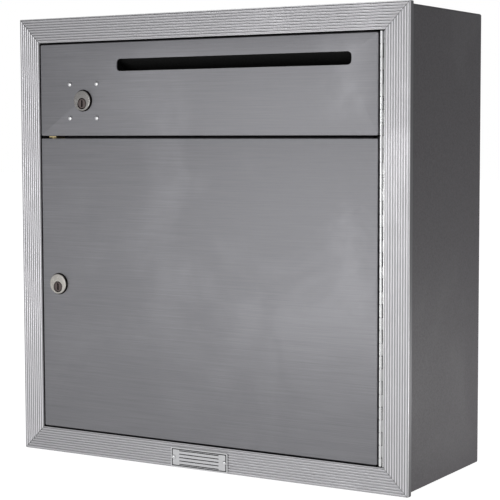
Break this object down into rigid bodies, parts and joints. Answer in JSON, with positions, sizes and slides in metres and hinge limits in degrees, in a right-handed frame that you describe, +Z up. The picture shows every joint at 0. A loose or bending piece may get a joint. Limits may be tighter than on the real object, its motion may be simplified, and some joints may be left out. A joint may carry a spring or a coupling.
{
  "type": "parcel drop box",
  "caption": "Surface-mounted metal mail and parcel drop box: ribbed mitred trim frame, a low upper door with a long mail slot and a tall lower door on one continuous hinge, round locks.",
  "frame": {"origin": "centre of the four wall-bolt holes, on the back face of the box", "axes": "+X to the right seen from the front, +Y back into the wall, +Z up; the front faces -Y"},
  "size_m": [0.48, 0.1798, 0.483],
  "materials": {
    "trim": "ribbed extrusion, satin clear anodised",
    "door": "brushed horizontally, clear anodised",
    "casing": "dark grey satin powder coat",
    "hinge": "bright stainless",
    "lock": "nickel plated",
    "lock_steel": "zinc plated",
    "rivet": "bright aluminium",
    "brass": "machined brass",
    "rubber": "black rubber",
    "spring": "spring steel wire",
    "plate": "satin plate, plain ruled pattern"
  },
  "bodies": {
    "cabinet": {"wrapper": "casing", "back_panel": "casing", "back_rivets": "rivet", "jamb_left": "casing", "jamb_right": "casing", "jamb_top": "casing", "jamb_bottom": "casing", "trim_left": "trim", "trim_right": "trim", "trim_top": "trim", "trim_bottom": "trim", "corner_keys": "lock_steel", "trim_screws": "lock_steel", "divider_shelf": "casing", "shelf_rivets": "rivet", "hinge_frame_leaf": "hinge", "hinge_pin": "hinge", "frame_leaf_rivets": "rivet", "nameplate": "plate", "nameplate_rivets": "rivet", "bolt_strike": "lock_steel", "catch_strike": "brass", "strike_rivets": "rivet", "door_bumpers": "rubber"},
    "upper_door": {"upper_door_panel": "door", "upper_door_leaf": "hinge", "upper_leaf_rivets": "rivet", "slot_hood": "door", "lock_case": "lock_steel", "lock_cover": "lock_steel", "cover_screws": "lock_steel", "lock_rivets": "rivet", "upper_lock_body": "lock"},
    "upper_plug": {"upper_lock_plug": "lock", "lock_driver": "lock_steel"},
    "bolt": {"lock_bolt": "lock_steel"},
    "lower_door": {"lower_door_panel": "door", "lower_door_leaf": "hinge", "lower_leaf_rivets": "rivet", "door_stiffener": "door", "lower_lock_body": "lock", "lower_lock_nut": "lock_steel", "catch_body": "brass", "catch_spring": "spring"},
    "lower_plug": {"lower_lock_plug": "lock", "lock_cam": "lock_steel", "cam_screw": "lock_steel"},
    "plunger": {"catch_plunger": "brass"}
  },
  "joints": [
    {"name": "upper_door_hinge", "type": "hinge", "parent": "cabinet", "child": "upper_door", "pos_m": [0.209, -0.1756, 0.1627], "axis": [0, 0, 1], "range_deg": [0, 120]},
    {"name": "lower_door_hinge", "type": "hinge", "parent": "cabinet", "child": "lower_door", "pos_m": [0.209, -0.1756, -0.052], "axis": [0, 0, 1], "range_deg": [0, 120]},
    {"name": "upper_lock_turn", "type": "hinge", "parent": "upper_door", "child": "upper_plug", "pos_m": [-0.1535, -0.165, 0.1475], "axis": [0, 1, 0], "range_deg": [0, 90]},
    {"name": "bolt_slide", "type": "slide", "parent": "upper_door", "child": "bolt", "axis": [-1, 0, 0], "range_m": [0, 0.009]},
    {"name": "lower_lock_turn", "type": "hinge", "parent": "lower_door", "child": "lower_plug", "pos_m": [-0.1897, -0.165, -0.0551], "axis": [0, 1, 0], "range_deg": [0, 90]},
    {"name": "catch_push", "type": "slide", "parent": "lower_door", "child": "plunger", "axis": [0, 0, -1], "range_m": [0, 0.0016], "stiffness_N_per_m": 600, "deforming": ["catch_spring"]}
  ],
  "couplings": [
    {"joint": "bolt_slide", "follows": "upper_lock_turn", "m_per_rad": 0.005729}
  ]
}
